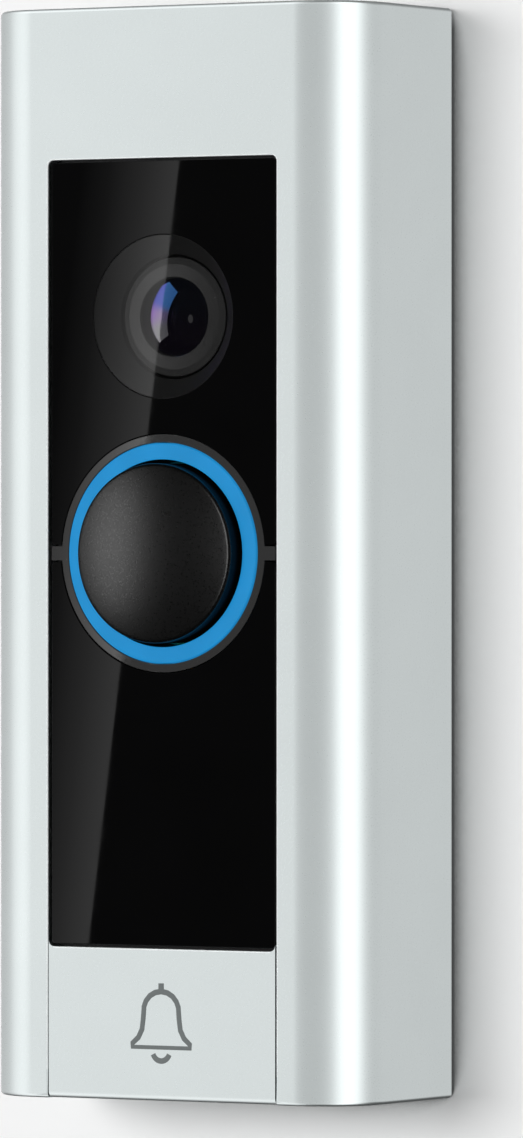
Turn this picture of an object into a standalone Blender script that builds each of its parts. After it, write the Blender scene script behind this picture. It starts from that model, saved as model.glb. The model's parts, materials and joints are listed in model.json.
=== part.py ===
"""A wired video doorbell: a metal faceplate over a sealed core with a camera, a lit button and a speaker.

Every size below is in millimetres. Pieces are laid out as they would lie on a bench, on their backs:
X to the right, Y up the door, Z out from the wall. The empty named wall_frame stands them up, so that
in the world +Z is up, the front faces -Y, and the origin is the centre of the back face, on the wall.
"""

import math

import bmesh
import bpy
from mathutils import Matrix, Vector

MM = 0.001
GAP = 0.3  # clearance between neighbouring pieces

# Faceplate
HALF_WIDTH = 22.95
HALF_HEIGHT = 57.15
DEPTH = 21.2
WALL = 1.6
SIDE_ROUND = 6.9  # radius of the long front edges
REAR_EDGE = 0.1  # the faceplate's rear edge stands this far off the wall
OPENING_HALF_WIDTH = 14.0
OPENING_HALF_HEIGHT = 41.24

# Badge panel, between the faceplate's rails below the opening
BADGE_HALF_WIDTH = OPENING_HALF_WIDTH - GAP
BADGE_BOTTOM = -HALF_HEIGHT + 0.05
SECURITY_SCREW_OUT = 12.0

# Core: rear tub, gasket and front housing
CORE_HALF_WIDTH = HALF_WIDTH - WALL - GAP
CORE_TOP = HALF_HEIGHT - WALL - GAP
CORE_BOTTOM = -HALF_HEIGHT + WALL + 0.55
CORE_FRONT = DEPTH - WALL - GAP
CORE_STEP_FRONT = 17.6  # the core is lower behind the badge panel
CORE_STEP_TOP = -41.5
REAR_RIM = 7.9
FRONT_RIM = 9.1
CORE_CORNER = 1.5
MOUNT_HOLE_Y = 46.0
MOUNT_HOLE_RADIUS = 2.2
MOUNT_SEAT_RADIUS = 4.2
MOUNT_TUBE_RADIUS = 5.6
CASE_SCREW_X = 17.0
CASE_SCREW_Y = 50.4

# Windows and button, all round the button's axis at the origin
WINDOW_FRONT = DEPTH - GAP
WINDOW_BACK = CORE_FRONT + GAP
WINDOW_HALF_WIDTH = OPENING_HALF_WIDTH - GAP
WINDOW_HALF_HEIGHT = OPENING_HALF_HEIGHT - GAP
BEZEL_RADIUS = 12.42
BEZEL_BORE = 11.62
EAR_HALF_HEIGHT = 0.75
GUIDE_RADIUS = 11.45
GUIDE_BORE = 9.78
CAP_RADIUS = 9.35
CAP_RIM = DEPTH + 1.9
CAP_CROWN = DEPTH + 2.6
BUTTON_TRAVEL = 0.8
SWITCH_TOP = 16.5

# Camera
CAMERA_Y = 24.7
COVER_RADIUS = 8.6
LENS_RADIUS = 4.05

# Boards
MAIN_BOARD_BACK = 7.2
MAIN_BOARD_FRONT = 8.4
PART_SEAT = MAIN_BOARD_FRONT + GAP  # separate pieces stand this far out over the main board

# Side controls on the core
SETUP_BUTTON_Y = 33.0
SETUP_BUTTON_OUT = 12.2
USB_Y = 20.0

# Wiring recess in the back
RECESS_HALF_WIDTH = 9.0
RECESS_TOP = -15.0
RECESS_BOTTOM = -33.0
RECESS_DEPTH = 4.6
TERMINAL_X = 4.5
TERMINAL_Y = -19.5

# Speaker
SPEAKER_Y = -27.0
MICROPHONE_X = 8.0
MICROPHONE_OUT = 12.5

DIRECTIONS = {
    "out": (0, 0, 1),
    "back": (0, 0, -1),
    "right": (1, 0, 0),
    "up": (0, 1, 0),
    "down": (0, -1, 0),
}


def clear_scene():
    for obj in list(bpy.data.objects):
        bpy.data.objects.remove(obj, do_unlink=True)


def add_collection(name):
    collection = bpy.data.collections.new(name)
    bpy.context.scene.collection.children.link(collection)
    return collection


def add_wall_frame():
    frame = bpy.data.objects.new("wall_frame", None)
    frame.rotation_euler = (math.pi / 2, 0, 0)
    PARTS.objects.link(frame)
    return frame


def material(name, colour, roughness, metallic=0.0):
    made = bpy.data.materials.new(name)
    made.use_nodes = True
    shader = made.node_tree.nodes["Principled BSDF"]
    shader.inputs["Base Color"].default_value = (*colour, 1)
    shader.inputs["Roughness"].default_value = roughness
    shader.inputs["Metallic"].default_value = metallic
    return made


def place(obj, made_of=None):
    """Puts a piece among the parts if it is made of something, and among the cutters if not."""
    obj.parent = WALL_FRAME
    if made_of:
        PARTS.objects.link(obj)
        obj.data.materials.clear()
        obj.data.materials.append(made_of)
        obj.data.shade_smooth()
        obj.data.set_sharp_from_angle(angle=math.radians(35))
    else:
        CUTTERS.objects.link(obj)
        obj.hide_render = True
        obj.display_type = "WIRE"
    return obj


def from_bmesh(name, shape, made_of):
    mesh = bpy.data.meshes.new(name)
    shape.to_mesh(mesh)
    shape.free()
    return place(bpy.data.objects.new(name, mesh), made_of)


def block(name, low, high, made_of=None, rounds=()):
    """A box from low to high.

    Each round is (axis, radius, picks): it rounds the edges along that axis whose middle satisfies picks.
    """
    shape = bmesh.new()
    bmesh.ops.create_cube(shape, size=1)
    low = Vector(low) * MM
    high = Vector(high) * MM
    bmesh.ops.scale(shape, vec=high - low, verts=shape.verts)
    bmesh.ops.translate(shape, vec=(low + high) / 2, verts=shape.verts)
    for axis, radius, picks in rounds:
        edges = [
            edge
            for edge in shape.edges
            if abs((edge.verts[1].co - edge.verts[0].co).normalized()[axis]) > 0.99
            and picks((edge.verts[0].co + edge.verts[1].co) / 2 / MM)
        ]
        bmesh.ops.bevel(
            shape,
            geom=edges,
            offset=radius * MM,
            segments=max(2, round(radius * 1.3)),
            profile=0.5,
            affect="EDGES",
        )
    return from_bmesh(name, shape, made_of)


def anywhere(middle):
    return True


def rod(name, radius, start, end, made_of=None, sides=32):
    """A cylinder between two points."""
    start = Vector(start) * MM
    end = Vector(end) * MM
    turn = (end - start).to_track_quat("Z", "Y").to_matrix().to_4x4()
    shape = bmesh.new()
    bmesh.ops.create_cone(
        shape,
        cap_ends=True,
        segments=sides,
        radius1=radius * MM,
        radius2=radius * MM,
        depth=(end - start).length,
        matrix=Matrix.Translation((start + end) / 2) @ turn,
    )
    return from_bmesh(name, shape, made_of)


def outward(name, radius, at, low, high, made_of=None, sides=32):
    """A cylinder that runs out from the wall at a point (x, y)."""
    return rod(name, radius, (*at, low), (*at, high), made_of, sides)


def upright(name, radius, at, low, high, sides=32):
    """A cylinder that runs up the door at a point (x, out)."""
    x, out = at
    return rod(name, radius, (x, low, out), (x, high, out), sides=sides)


def turned(name, profile, made_of=None, at=(0, 0, 0), axis="out", steps=48):
    """A turned piece. Its profile is a list of (radius, height) that runs down its outer side.

    The profile is closed if it stays off the axis, and otherwise runs from axis to axis. Heights are
    measured from the point at, along axis.
    """
    mesh = bpy.data.meshes.new(name)
    count = len(profile)
    edges = [(i, i + 1) for i in range(count - 1)]
    if profile[0][0] > 0:
        edges.append((count - 1, 0))
    mesh.from_pydata([(r * MM, 0, h * MM) for r, h in profile], edges, [])
    obj = place(bpy.data.objects.new(name, mesh), made_of)
    obj.location = Vector(at) * MM
    obj.rotation_euler = Vector(DIRECTIONS[axis]).to_track_quat("Z", "Y").to_euler()
    screw = obj.modifiers.new("turn", "SCREW")
    screw.angle = math.tau
    screw.steps = steps
    screw.render_steps = steps
    screw.use_merge_vertices = True
    screw.merge_threshold = 1e-6
    screw.use_smooth_shade = True
    return obj


def sheet(name, path, x_low, x_high, thickness, made_of):
    """A thin strip bent along a path of (y, out) points and as wide as from x_low to x_high."""
    shape = bmesh.new()
    points = [shape.verts.new((x_low * MM, y * MM, out * MM)) for y, out in path]
    edges = [shape.edges.new(pair) for pair in zip(points, points[1:])]
    swept = bmesh.ops.extrude_edge_only(shape, edges=edges)["geom"]
    moved = [item for item in swept if isinstance(item, bmesh.types.BMVert)]
    bmesh.ops.translate(shape, vec=((x_high - x_low) * MM, 0, 0), verts=moved)
    strip = from_bmesh(name, shape, made_of)
    solidify = strip.modifiers.new("thickness", "SOLIDIFY")
    solidify.thickness = thickness * MM
    solidify.offset = 0
    return strip


def bends(path, radius, steps=4):
    """The path with each inner corner replaced by a curve that starts and ends at the radius from it."""
    smooth = [path[0]]
    for before, corner, after in zip(path, path[1:], path[2:]):
        corner = Vector(corner)
        start = corner + (Vector(before) - corner).normalized() * radius
        end = corner + (Vector(after) - corner).normalized() * radius
        for step in range(steps + 1):
            t = step / steps
            smooth.append((1 - t) ** 2 * start + 2 * t * (1 - t) * corner + t**2 * end)
    return smooth + [path[-1]]


def boolean(target, operation, others):
    for other in others:
        modifier = target.modifiers.new(other.name, "BOOLEAN")
        modifier.operation = operation
        modifier.solver = "EXACT"
        modifier.object = other
    return target


def join(target, *others):
    return boolean(target, "UNION", others)


def cut(target, *others):
    return boolean(target, "DIFFERENCE", others)


def soften(target, radius):
    """Rounds every sharp edge that the piece has so far."""
    bevel = target.modifiers.new("soft_edges", "BEVEL")
    bevel.width = radius * MM
    bevel.segments = 2
    bevel.limit_method = "ANGLE"
    bevel.angle_limit = math.radians(60)
    bevel.use_clamp_overlap = True


def make_faceplate():
    front_edges = (1, SIDE_ROUND, lambda middle: middle.z > DEPTH / 2)
    shell = block(
        "faceplate_shell",
        (-HALF_WIDTH, -HALF_HEIGHT, REAR_EDGE),
        (HALF_WIDTH, HALF_HEIGHT, DEPTH),
        SATIN_METAL,
        [front_edges],
    )
    soften(shell, 0.5)
    inner = HALF_WIDTH - WALL
    hollow = block(
        "faceplate_hollow",
        (-inner, -HALF_HEIGHT + WALL, -5),
        (inner, HALF_HEIGHT - WALL, DEPTH - WALL),
        rounds=[(1, SIDE_ROUND - WALL, front_edges[2])],
    )
    opening = block(
        "faceplate_opening",
        (-OPENING_HALF_WIDTH, -HALF_HEIGHT - 5, DEPTH - 3),
        (OPENING_HALF_WIDTH, OPENING_HALF_HEIGHT, DEPTH + 5),
    )
    underside = block(
        "faceplate_underside",
        (-OPENING_HALF_WIDTH, -HALF_HEIGHT - 5, -5),
        (OPENING_HALF_WIDTH, -HALF_HEIGHT + 3, DEPTH),
    )
    cut(shell, hollow, opening, underside)


def make_badge_panel():
    """An angle that fills the opening's lower end and the underside. Wings hold it behind the rails."""
    floor = BADGE_BOTTOM + WALL
    panel = block(
        "badge_panel",
        (-BADGE_HALF_WIDTH, BADGE_BOTTOM, 2.0),
        (BADGE_HALF_WIDTH, -OPENING_HALF_HEIGHT, DEPTH),
        SATIN_METAL,
        [(0, 0.6, lambda middle: middle.y < -50 and middle.z > 10)],
    )
    behind = block("badge_behind", (-30, floor, -5), (30, 0, DEPTH - WALL))
    wings = block("badge_wings", (-16.5, floor + 0.8, 18.0), (16.5, -OPENING_HALF_HEIGHT - 1.8, 19.2))
    bridge = block("badge_bridge", (-13, floor + 0.8, 18.6), (13, -OPENING_HALF_HEIGHT - 1.8, 20.4))
    cut(panel, behind)
    join(panel, wings, bridge)
    below = BADGE_BOTTOM - 2
    cut(
        panel,
        upright("screw_seat", 2.6, (0, SECURITY_SCREW_OUT), below, BADGE_BOTTOM + 1.0),
        upright("screw_clearance", 1.7, (0, SECURITY_SCREW_OUT), below, floor + 2),
        upright("sound_hole", 0.6, (MICROPHONE_X, MICROPHONE_OUT), below, floor + 2, 16),
    )

def make_security_screw():
    head = BADGE_BOTTOM + 0.1
    screw = turned(
        "security_screw",
        [(0, 0), (2.3, 0), (2.3, -0.75), (1.3, -0.75), (1.3, -4.0), (1.0, -4.3), (0, -4.3)],
        STEEL,
        (0, head, SECURITY_SCREW_OUT),
        "down",
        24,
    )
    cut(screw, upright("security_screw_socket", 0.95, (0, SECURITY_SCREW_OUT), head - 1, head + 0.45, 6))


def core_block(name, out_low, out_high, made_of, grow=0.0, rounds=()):
    return block(
        name,
        (-CORE_HALF_WIDTH + grow, CORE_BOTTOM + grow, out_low),
        (CORE_HALF_WIDTH - grow, CORE_TOP - grow, out_high),
        made_of,
        rounds,
    )


def corner_columns(name, radius, low, high, sides=20):
    places = enumerate(case_screw_places())
    return [outward(f"{name}_{i}", radius, at, low, high, sides=sides) for i, at in places]


def case_screw_places():
    return [(x, y) for y in (CASE_SCREW_Y, -CASE_SCREW_Y) for x in (-CASE_SCREW_X, CASE_SCREW_X)]


def make_front_housing():
    long_edges = (1, SIDE_ROUND - WALL - GAP, lambda middle: middle.z > 15)
    housing = core_block("front_housing", FRONT_RIM, CORE_FRONT, BLACK_PLASTIC, rounds=[long_edges])
    step = block("housing_step", (-30, -70, CORE_STEP_FRONT), (30, CORE_STEP_TOP, 30))
    inner = CORE_HALF_WIDTH - WALL
    upper = block(
        "housing_hollow",
        (-inner, CORE_STEP_TOP + WALL, 0),
        (inner, CORE_TOP - WALL, CORE_FRONT - WALL),
        rounds=[(1, long_edges[1] - WALL, long_edges[2])],
    )
    lower = block(
        "housing_low_hollow",
        (-inner, CORE_BOTTOM + WALL, 0),
        (inner, CORE_STEP_TOP + WALL + 2, CORE_STEP_FRONT - WALL),
        rounds=[(1, 2.0, lambda middle: middle.z > 10)],
    )
    cut(housing, step, upper, lower)
    for i, (y, front) in enumerate(((MOUNT_HOLE_Y, CORE_FRONT), (-MOUNT_HOLE_Y, CORE_STEP_FRONT))):
        join(housing, outward(f"mount_tube_{i}", MOUNT_TUBE_RADIUS, (0, y), FRONT_RIM, front - 0.6))
    join(housing, *corner_columns("case_boss", 3.0, FRONT_RIM, CORE_STEP_FRONT - 0.6))
    boss_front = CORE_STEP_FRONT - 1
    join(housing, block("screw_boss", (-3.6, CORE_BOTTOM + 1, 9.8), (3.6, CORE_BOTTOM + 2.9, boss_front)))
    for i, y in enumerate((MOUNT_HOLE_Y, -MOUNT_HOLE_Y)):
        cut(housing, outward(f"mount_access_{i}", MOUNT_SEAT_RADIUS + 0.1, (0, y), 0, 30))
    below = CORE_BOTTOM - 2
    cut(
        housing,
        *corner_columns("case_thread", 1.3, 0, 15.0, 16),
        outward("button_bore", BEZEL_RADIUS + GAP, (0, 0), 10, 30, sides=64),
        outward("camera_bore", 8.3, (0, CAMERA_Y), 10, 30, sides=48),
        upright("screw_slot_end", 1.6, (0, SECURITY_SCREW_OUT), below, CORE_BOTTOM + 4, 16),
        block("screw_slot", (-1.6, below, SECURITY_SCREW_OUT), (1.6, CORE_BOTTOM + 4, 30)),
        upright("sound_port", 1.8, (MICROPHONE_X, MICROPHONE_OUT), below, CORE_BOTTOM + 3, 20),
        block("usb_slot", (18, USB_Y - 3.4, 9.7), (25, USB_Y + 3.4, 12.6)),
    )
    setup_low = (15, SETUP_BUTTON_Y, SETUP_BUTTON_OUT)
    setup_high = (25, SETUP_BUTTON_Y, SETUP_BUTTON_OUT)
    cut(housing, rod("setup_hole", 2.6, setup_low, setup_high, sides=24))
    for i in range(5):
        y = SPEAKER_Y + (i - 2) * 3.0
        cut(housing, block(f"speaker_slot_{i}", (-25, y - 0.6, 11.0), (-18, y + 0.6, 15.5)))


def make_rear_housing():
    housing = core_block("rear_housing", 0, REAR_RIM, BLACK_PLASTIC, rounds=[(2, CORE_CORNER, anywhere)])
    cut(housing, core_block("rear_hollow", WALL, 30, None, grow=WALL))
    recess_wall = block(
        "recess_wall",
        (-RECESS_HALF_WIDTH - 1.2, RECESS_BOTTOM - 1.2, 0.5),
        (RECESS_HALF_WIDTH + 1.2, RECESS_TOP + 1.2, RECESS_DEPTH + 1.2),
    )
    join(housing, recess_wall)
    mount_holes = [(0, MOUNT_HOLE_Y), (0, -MOUNT_HOLE_Y)]
    for i, at in enumerate(mount_holes):
        join(housing, outward(f"mount_boss_{i}", MOUNT_TUBE_RADIUS, at, 0.5, FRONT_RIM - 0.2))
    join(housing, *corner_columns("case_column", 3.0, 0.5, REAR_RIM))
    recess = block(
        "wire_recess",
        (-RECESS_HALF_WIDTH, RECESS_BOTTOM, -5),
        (RECESS_HALF_WIDTH, RECESS_TOP, RECESS_DEPTH),
        rounds=[(2, 1.2, anywhere)],
    )
    cut(housing, recess)
    for i, at in enumerate(mount_holes):
        cut(
            housing,
            outward(f"mount_hole_{i}", MOUNT_HOLE_RADIUS, at, -5, 30, sides=24),
            outward(f"mount_seat_{i}", MOUNT_SEAT_RADIUS, at, REAR_RIM, 30),
        )
    cut(housing, *corner_columns("case_hole", 1.4, -5, 30, 16))
    cut(housing, *corner_columns("case_sink", 2.4, -5, 2.2))
    for i, x in enumerate((-TERMINAL_X, TERMINAL_X)):
        cut(housing, outward(f"terminal_hole_{i}", 1.7, (x, TERMINAL_Y), 0, 30, sides=20))


def make_gasket():
    low = REAR_RIM + 0.2
    high = FRONT_RIM - 0.2
    gasket = core_block("housing_gasket", low, high, SILICONE, 0.3, [(2, CORE_CORNER, anywhere)])
    cut(gasket, core_block("gasket_hollow", 0, 30, None, grow=1.3))


def make_case_screws():
    for i, (x, y) in enumerate(case_screw_places()):
        screw = turned(
            f"case_screw_{i + 1}",
            [(0, 0), (2.0, 0), (2.0, -1.2), (1.1, -1.2), (1.1, -12.6), (0.8, -13.0), (0, -13.0)],
            STEEL,
            (x, y, 0.7),
            "back",
            16,
        )
        cut(screw, outward(f"case_screw_{i + 1}_socket", 0.9, (x, y), -1, 1.4, sides=6))


def make_windows():
    soft_corners = [(2, 0.4, anywhere)]
    edge = EAR_HALF_HEIGHT + 0.15
    upper = block(
        "upper_window",
        (-WINDOW_HALF_WIDTH, edge, WINDOW_BACK),
        (WINDOW_HALF_WIDTH, WINDOW_HALF_HEIGHT, WINDOW_FRONT),
        GLOSS_BLACK,
        soft_corners,
    )
    lower = block(
        "lower_window",
        (-WINDOW_HALF_WIDTH, -WINDOW_HALF_HEIGHT, WINDOW_BACK),
        (WINDOW_HALF_WIDTH, -edge, WINDOW_FRONT),
        GLOSS_BLACK,
        soft_corners,
    )
    bore = outward("window_bore", BEZEL_RADIUS + 0.15, (0, 0), 10, 30, sides=64)
    cut(upper, bore, outward("cover_hole", COVER_RADIUS + 0.15, (0, CAMERA_Y), 10, 30, sides=48))
    cut(lower, bore)
    turned(
        "camera_cover",
        [
            (0, WINDOW_FRONT),
            (COVER_RADIUS - 0.15, WINDOW_FRONT),
            (COVER_RADIUS, WINDOW_FRONT - 0.15),
            (COVER_RADIUS, WINDOW_BACK),
            (0, WINDOW_BACK),
        ],
        SMOKED,
        (0, CAMERA_Y, 0),
    )


def make_button():
    bezel = turned(
        "button_bezel",
        [(BEZEL_BORE, WINDOW_FRONT), (BEZEL_RADIUS, WINDOW_FRONT), (BEZEL_RADIUS, 15.0), (BEZEL_BORE, 15.0)],
        GREY_PLASTIC,
        steps=64,
    )
    for side, name in ((-1, "left_ear"), (1, "right_ear")):
        near = side * (BEZEL_RADIUS - 0.4)
        far = side * WINDOW_HALF_WIDTH
        ear = block(
            name,
            (min(near, far), -EAR_HALF_HEIGHT, WINDOW_BACK),
            (max(near, far), EAR_HALF_HEIGHT, WINDOW_FRONT),
        )
        join(bezel, ear)
    turned(
        "light_guide",
        [(GUIDE_BORE, DEPTH - 0.15), (GUIDE_RADIUS, DEPTH - 0.15), (GUIDE_RADIUS, 15.3), (GUIDE_BORE, 15.3)],
        BLUE_GUIDE,
        steps=64,
    )
    dome = [(CAP_RADIUS * s, CAP_CROWN - (CAP_CROWN - CAP_RIM) * s**2.4) for s in (0.35, 0.6, 0.8, 0.93)]
    skirt = [(CAP_RADIUS, CAP_RIM - 0.55), (CAP_RADIUS, 17.0), (7.9, 17.0), (7.9, 21.2), (0, 21.2)]
    turned("button_cap", [(0, CAP_CROWN)] + dome + skirt, MATT_BLACK)
    tip = SWITCH_TOP + BUTTON_TRAVEL + 0.2
    turned(
        "button_plunger",
        [(0, 20.9), (3.4, 20.9), (3.4, 20.1), (1.6, 20.1), (1.6, tip), (0, tip)],
        WHITE_PLASTIC,
        steps=24,
    )
    make_button_spring()
    turned(
        "button_seal",
        [(5.0, 15.6), (7.6, 15.6), (7.6, 16.0), (9.4, 16.0), (9.4, 15.0), (5.0, 15.0)],
        SILICONE,
    )
    switch = block("button_switch", (-2.6, -2.6, 14.5), (2.6, 2.6, 16.2), STEEL, [(2, 0.4, anywhere)])
    join(switch, outward("switch_dome", 1.2, (0, 0), 15.0, SWITCH_TOP, sides=20))


def make_button_spring():
    low, high, mean_radius, turns, per_turn = 16.1, 20.9, 4.6, 4, 14
    curve = bpy.data.curves.new("button_spring", "CURVE")
    curve.dimensions = "3D"
    curve.bevel_depth = 0.25 * MM
    curve.bevel_resolution = 2
    curve.use_fill_caps = True
    spline = curve.splines.new("POLY")
    count = turns * per_turn + 1
    spline.points.add(count - 1)
    for i, point in enumerate(spline.points):
        angle = math.tau * i / per_turn
        out = low + 0.3 + (high - low - 0.6) * i / (count - 1)
        x = mean_radius * math.cos(angle)
        y = mean_radius * math.sin(angle)
        point.co = (x * MM, y * MM, out * MM, 1)
    spring = bpy.data.objects.new("button_spring", curve)
    spring.parent = WALL_FRAME
    curve.materials.append(STEEL)
    PARTS.objects.link(spring)


def make_camera():
    at = (0, CAMERA_Y, 0)
    turned(
        "camera_holder",
        [
            (5.4, 18.1),
            (6.5, 18.1),
            (6.5, 17.5),
            (7.9, 17.5),
            (7.9, 12.2),
            (9.4, 12.2),
            (9.4, 11.2),
            (5.4, 11.2),
        ],
        BLACK_PLASTIC,
        at,
        steps=40,
    )
    infrared = turned(
        "infrared_board", [(6.8, 18.5), (8.0, 18.5), (8.0, 17.8), (6.8, 17.8)], GREEN_BOARD, at, steps=40
    )
    for i in range(6):
        angle = math.tau * (i + 0.5) / 6
        x = 7.4 * math.cos(angle)
        y = CAMERA_Y + 7.4 * math.sin(angle)
        emitter = block(f"emitter_{i}", (x - 0.4, y - 0.4, 18.3), (x + 0.4, y + 0.4, 19.1))
        join(infrared, emitter)
    turned("light_block", [(5.9, 19.4), (6.6, 19.4), (6.6, 18.9), (5.9, 18.9)], SILICONE, at, steps=40)
    turned(
        "lens_bezel",
        [(4.5, 18.45), (6.5, 18.7), (6.5, 18.35), (4.5, 18.2)],
        GREY_PLASTIC,
        at,
        steps=40,
    )
    turned(
        "lens_barrel",
        [(4.35, 18.0), (5.1, 18.0), (5.1, 11.5), (3.4, 11.5), (3.4, 14.8), (3.7, 15.2), (4.35, 15.2)],
        MATT_BLACK,
        at,
        steps=40,
    )
    dome = [(LENS_RADIUS * math.sin(a), 17.2 + 1.2 * math.cos(a)) for a in (0.3, 0.6, 0.9, 1.25)]
    rim = [(LENS_RADIUS, 17.0), (LENS_RADIUS, 15.5), (0, 15.5)]
    turned("front_lens", [(0, 18.4)] + dome + rim, GLASS, at, steps=32)
    turned(
        "rear_lens",
        [(0, 14.5), (1.6, 14.3), (3.1, 13.7), (3.1, 13.0), (1.6, 12.5), (0, 12.3)],
        GLASS,
        at,
        steps=32,
    )
    block("image_sensor", (-3.4, CAMERA_Y - 2.8, 10.3), (3.4, CAMERA_Y + 2.8, 11.0), SENSOR)
    corners = [(2, 1.0, anywhere)]
    block("camera_board", (-8, CAMERA_Y - 8, 9.3), (8, CAMERA_Y + 8, 10.0), GREEN_BOARD, corners)
    drop = CAMERA_Y - 10.6
    strip = bends([(CAMERA_Y - 8.3, 9.6), (drop, 9.6), (drop, 8.9), (drop - 2.8, 8.9)], 0.3, 3)
    sheet("camera_flex_cable", strip, -3, 3, 0.2, AMBER_FILM)


def make_light_board():
    board = outward("light_board", 12.0, (0, 0), 13.2, 14.2, GREEN_BOARD, 48)
    for i in range(12):
        angle = math.tau * i / 12
        x = 10.5 * math.cos(angle)
        y = 10.5 * math.sin(angle)
        join(board, block(f"led_{i}", (x - 0.7, y - 0.7, 14.0), (x + 0.7, y + 0.7, 14.8)))
    strip = bends([(-9.0, 12.9), (-13.6, 12.9), (-13.6, 8.9), (-11.0, 8.9)], 1.0)
    sheet("button_flex_cable", strip, -2.5, 2.5, 0.2, AMBER_FILM)


def make_main_board():
    board = block(
        "main_board",
        (-18.8, -40.2, MAIN_BOARD_BACK),
        (18.8, 40.2, MAIN_BOARD_FRONT),
        GREEN_BOARD,
        [(2, 1.5, anywhere)],
    )
    chips = {
        "memory_chip": (-15.0, 10.0, 6.0, 8.0),
        "audio_chip": (10.5, -14.0, 5.0, 5.0),
        "power_chip": (11.5, -34.0, 5.0, 6.0),
        "bridge_rectifier": (-16.0, -18.0, 5.0, 4.0),
    }
    for name, (x, y, width, height) in chips.items():
        low = (x, y, MAIN_BOARD_FRONT - 0.3)
        high = (x + width, y + height, MAIN_BOARD_FRONT + 0.9)
        join(board, block(name, low, high))
    block("processor_shield", (-7.5, -8, PART_SEAT), (7.5, 8, 10.9), STEEL, [(2, 0.6, anywhere)])
    block("wifi_module", (-18.0, 33.5, PART_SEAT), (-8.0, 39.8, 10.9), STEEL, [(2, 0.5, anywhere)])
    antenna = block("antenna", (-18.9, 12, PART_SEAT), (-18.5, 31, 14.5), BRASS)
    join(antenna, block("antenna_foot", (-18.9, 12, PART_SEAT), (-15.5, 15, PART_SEAT + 0.4)))
    block("power_inductor", (-17.6, -37.5, PART_SEAT), (-9.6, -29.5, 11.7), MATT_BLACK, [(2, 1.5, anywhere)])
    for x, name in ((-16.0, "capacitor_left"), (16.0, "capacitor_right")):
        rod(name, 3.15, (x, -7.0, 12.4), (x, 7.0, 12.4), BLUE_SLEEVE, 24)


def make_speaker():
    at = (0, SPEAKER_Y)
    low = SPEAKER_Y - 10.8
    high = SPEAKER_Y + 10.8
    corners = [(2, 2.0, anywhere)]
    frame = block("speaker_frame", (-12.4, low, 12.0), (12.4, high, 16.7), BLACK_PLASTIC, corners)
    cut(
        frame,
        outward("speaker_basket", 9.6, at, 13.2, 30, sides=40),
        outward("speaker_core", 4.0, at, 5, 30, sides=24),
    )
    outward("speaker_magnet", 7.0, at, 9.2, 11.7, STEEL)
    front = [(0, 15.6), (2.6, 14.9), (7.6, 15.9), (8.4, 16.5), (9.3, 16.0)]
    back = [(9.3, 15.6), (8.5, 15.9), (2.8, 14.3), (0, 15.0)]
    turned("speaker_cone", front + back, MATT_BLACK, (0, SPEAKER_Y, 0), steps=32)
    gasket = block("speaker_gasket", (-12.4, low, 17.0), (12.4, high, 17.4), SILICONE, corners)
    cut(gasket, outward("gasket_hole", 9.9, at, 10, 30, sides=40))


def make_microphone():
    low = CORE_BOTTOM + WALL
    turned(
        "microphone_boot",
        [(0.6, 1.6), (2.6, 1.6), (2.6, 0.3), (1.5, 0.3), (1.5, -1.5), (0.6, -1.5)],
        SILICONE,
        (MICROPHONE_X, low, MICROPHONE_OUT),
        "up",
        20,
    )
    block(
        "microphone",
        (MICROPHONE_X - 1.9, low + 1.9, MICROPHONE_OUT - 1.4),
        (MICROPHONE_X + 1.9, low + 3.0, MICROPHONE_OUT + 1.4),
        STEEL,
    )
    rise = low + 3.3
    drop = low + 9.6
    strip = bends([(rise, 13.7), (rise, 9.8), (drop, 9.8), (drop, 8.8), (low + 16.5, 8.8)], 0.4, 3)
    sheet("microphone_flex_cable", strip, MICROPHONE_X - 1.2, MICROPHONE_X + 1.2, 0.2, AMBER_FILM)


def make_side_controls():
    turned(
        "setup_button",
        [(0, 0), (2.2, 0), (2.3, -0.15), (2.3, -1.9), (3.0, -1.9), (3.0, -2.5), (0, -2.5)],
        ORANGE,
        (CORE_HALF_WIDTH - 0.1, SETUP_BUTTON_Y, SETUP_BUTTON_OUT),
        "right",
        24,
    )
    y = SETUP_BUTTON_Y
    switch = block("setup_switch", (13.4, y - 3.2, PART_SEAT), (17.2, y + 3.2, 14.0), GREY_PLASTIC)
    join(switch, block("switch_actuator", (16.8, y - 1.2, 11.0), (17.7, y + 1.2, 13.4)))
    corners = [(0, 0.4, anywhere)]
    socket = block("usb_socket", (13.2, USB_Y - 3.8, PART_SEAT), (19.1, USB_Y + 3.8, 12.7), STEEL, corners)
    cut(socket, block("usb_mouth", (14.5, USB_Y - 3.2, 10.0), (25, USB_Y + 3.2, 12.2)))
    join(socket, block("usb_tongue", (14.0, USB_Y - 2.0, 11.4), (18.4, USB_Y + 2.0, 11.8)))


def make_terminals():
    y = TERMINAL_Y
    for x, side in ((-TERMINAL_X, "left"), (TERMINAL_X, "right")):
        plate = block(f"terminal_plate_{side}", (x - 3.3, y - 3.6, 3.6), (x + 3.3, y + 3.6, 4.3), BRASS)
        cut(plate, outward(f"terminal_clearance_{side}", 1.75, (x, y), 0, 30, sides=20))
        screw = turned(
            f"terminal_screw_{side}",
            [(0, 0), (2.3, 0), (2.7, -0.35), (2.7, -1.2), (1.45, -1.2), (1.45, -3.3), (0, -3.3)],
            STEEL,
            (x, y, 2.2),
            "back",
            24,
        )
        cut(
            screw,
            block(f"terminal_slot_{side}", (x - 2.0, y - 0.35, 0), (x + 2.0, y + 0.35, 2.8)),
            block(f"terminal_cross_{side}", (x - 0.35, y - 2.0, 0), (x + 0.35, y + 2.0, 2.8)),
        )


clear_scene()
PARTS = add_collection("video_doorbell")
CUTTERS = add_collection("cutters")
WALL_FRAME = add_wall_frame()

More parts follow.
